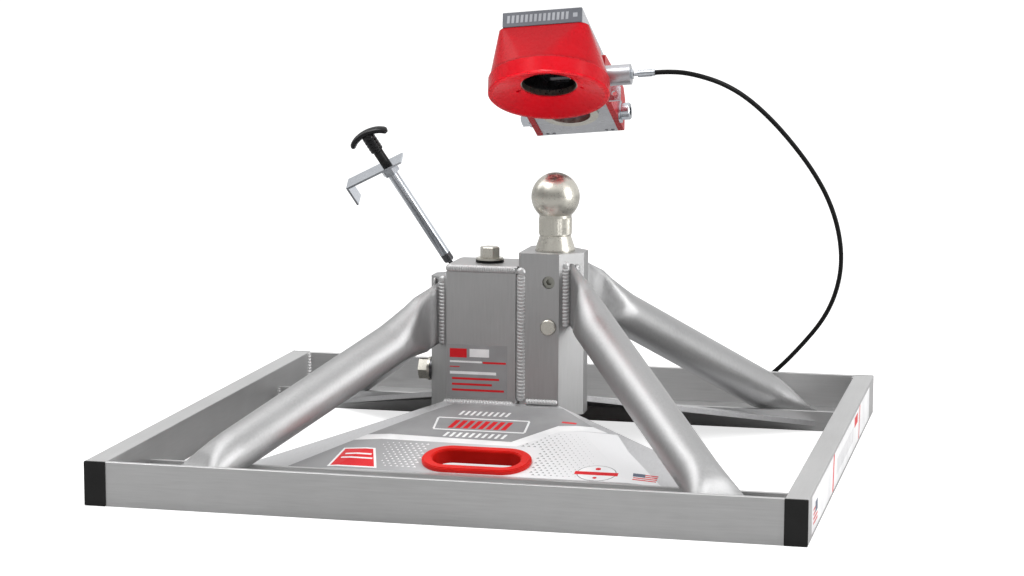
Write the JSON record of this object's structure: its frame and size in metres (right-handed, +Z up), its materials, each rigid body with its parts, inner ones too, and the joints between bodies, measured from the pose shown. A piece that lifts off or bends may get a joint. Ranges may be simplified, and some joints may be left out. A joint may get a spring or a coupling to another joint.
{
  "type": "fifth wheel hitch",
  "caption": "Lightweight aluminium fifth wheel hitch: a flat base frame with braced gooseneck tower and ball post, a drop-on ball coupler, and a cable-operated latch handle.",
  "frame": {"origin": "middle of the footprint of the base frame, on the surface it stands on", "axes": "+X to the base's right along its long side, +Y to the back, +Z up"},
  "size_m": [0.8128, 0.7882, 0.55],
  "materials": {
    "aluminium": "brushed, satin",
    "leg_aluminium": "satin, light scuffs",
    "plate_aluminium": "satin with a printed decal",
    "black_plastic": "matte",
    "nickel_steel": "nickel plated",
    "zinc_steel": "zinc plated",
    "dark_steel": "dark, oiled",
    "red_paint": "gloss powder coat",
    "red_rubber": "satin",
    "black_rubber": "matte",
    "grey_label": "satin label"
  },
  "bodies": {
    "root": {"left_side_rail": "aluminium", "right_side_rail": "aluminium", "rail_end_caps": "black_plastic", "front_channel": "aluminium", "rear_channel": "aluminium", "front_gusset_plate": "plate_aluminium", "rear_gusset_plate": "plate_aluminium", "hand_slot_grommet": "red_rubber", "front_left_leg": "leg_aluminium", "front_right_leg": "leg_aluminium", "rear_left_leg": "leg_aluminium", "rear_right_leg": "leg_aluminium", "tower_housing": "aluminium", "tower_floor": "aluminium", "tower_lid": "aluminium", "ball_post": "aluminium", "hitch_ball": "nickel_steel", "post_pin": "nickel_steel", "height_lock_screw": "dark_steel", "top_bolt_washer": "black_rubber", "handle_tube": "zinc_steel", "handle_nut": "zinc_steel", "handle_bracket": "zinc_steel", "handle_collar": "black_plastic", "release_cable": "black_rubber"},
    "cable_end": {"cable_ferrule": "zinc_steel"},
    "coupler": {"coupler_block": "aluminium", "coupler_label_plate": "grey_label", "guide_funnel": "red_paint", "socket_block": "dark_steel", "socket_ring": "nickel_steel", "ball_seat": "dark_steel", "left_side_plate": "red_paint", "right_side_plate": "red_paint", "kingpin_plate": "nickel_steel", "kingpin_ring": "nickel_steel", "clamp_bolt": "zinc_steel", "clamp_washers": "zinc_steel", "clamp_nut": "zinc_steel", "latch_housing": "zinc_steel", "latch_spring": "dark_steel", "latch_nut": "zinc_steel", "latch_bracket": "zinc_steel"},
    "latch": {"latch_pin": "nickel_steel"},
    "handle": {"t_handle": "black_plastic", "handle_rod": "zinc_steel"},
    "top_bolt": {"top_bolt": "nickel_steel"},
    "gooseneck_socket": {"gooseneck_socket": "dark_steel"},
    "left_washer": {"left_side_washer": "dark_steel"},
    "left_bolt": {"left_side_bolt": "nickel_steel"},
    "rear_washer": {"rear_side_washer": "dark_steel"},
    "rear_bolt": {"rear_side_bolt": "nickel_steel"}
  },
  "joints": [
    {"name": "coupler_lower", "type": "slide", "parent": "root", "child": "cable_end", "axis": [0.0531, -0.0044, -0.9986], "range_m": [0, 0.16554]},
    {"name": "coupler_level", "type": "hinge", "parent": "cable_end", "child": "coupler", "pos_m": [0.14072, 0.03074, 0.4691], "axis": [0.9825, 0.1865, 0], "range_deg": [0, 27.5]},
    {"name": "handle_release", "type": "slide", "parent": "root", "child": "handle", "axis": [0.42, 0.4, -0.8146], "range_m": [0, 0.02]},
    {"name": "latch_engage", "type": "slide", "parent": "coupler", "child": "latch", "axis": [-0.9961, -0.0207, -0.0861], "range_m": [0, 0.02], "deforming": ["latch_spring"]},
    {"name": "top_bolt_turn", "type": "hinge", "parent": "root", "child": "top_bolt", "pos_m": [-0.03, 0, 0.25], "axis": [0, 0, 1], "range_deg": [0, 900]},
    {"name": "gooseneck_lift", "type": "slide", "parent": "root", "child": "gooseneck_socket", "axis": [0, 0, 1], "range_m": [0, 0.00577]},
    {"name": "left_bolt_back_off", "type": "slide", "parent": "root", "child": "left_washer", "axis": [-1, 0, 0], "range_m": [0, 0.00462]},
    {"name": "left_bolt_turn", "type": "hinge", "parent": "left_washer", "child": "left_bolt", "pos_m": [-0.11, 0, 0.104], "axis": [-1, 0, 0], "range_deg": [0, 720]},
    {"name": "rear_bolt_back_off", "type": "slide", "parent": "root", "child": "rear_washer", "axis": [0, 1, 0], "range_m": [0, 0.00462]},
    {"name": "rear_bolt_turn", "type": "hinge", "parent": "rear_washer", "child": "rear_bolt", "pos_m": [-0.03, 0.05, 0.104], "axis": [0, 1, 0], "range_deg": [0, 720]}
  ],
  "couplings": [
    {"joint": "coupler_level", "follows": "coupler_lower", "rad_per_m": 2.8995},
    {"joint": "latch_engage", "follows": "handle_release", "ratio": 1},
    {"joint": "top_bolt_turn", "follows": "gooseneck_lift", "rad_per_m": 2721.2},
    {"joint": "left_bolt_turn", "follows": "left_bolt_back_off", "rad_per_m": 2721.2},
    {"joint": "rear_bolt_turn", "follows": "rear_bolt_back_off", "rad_per_m": 2721.2}
  ]
}
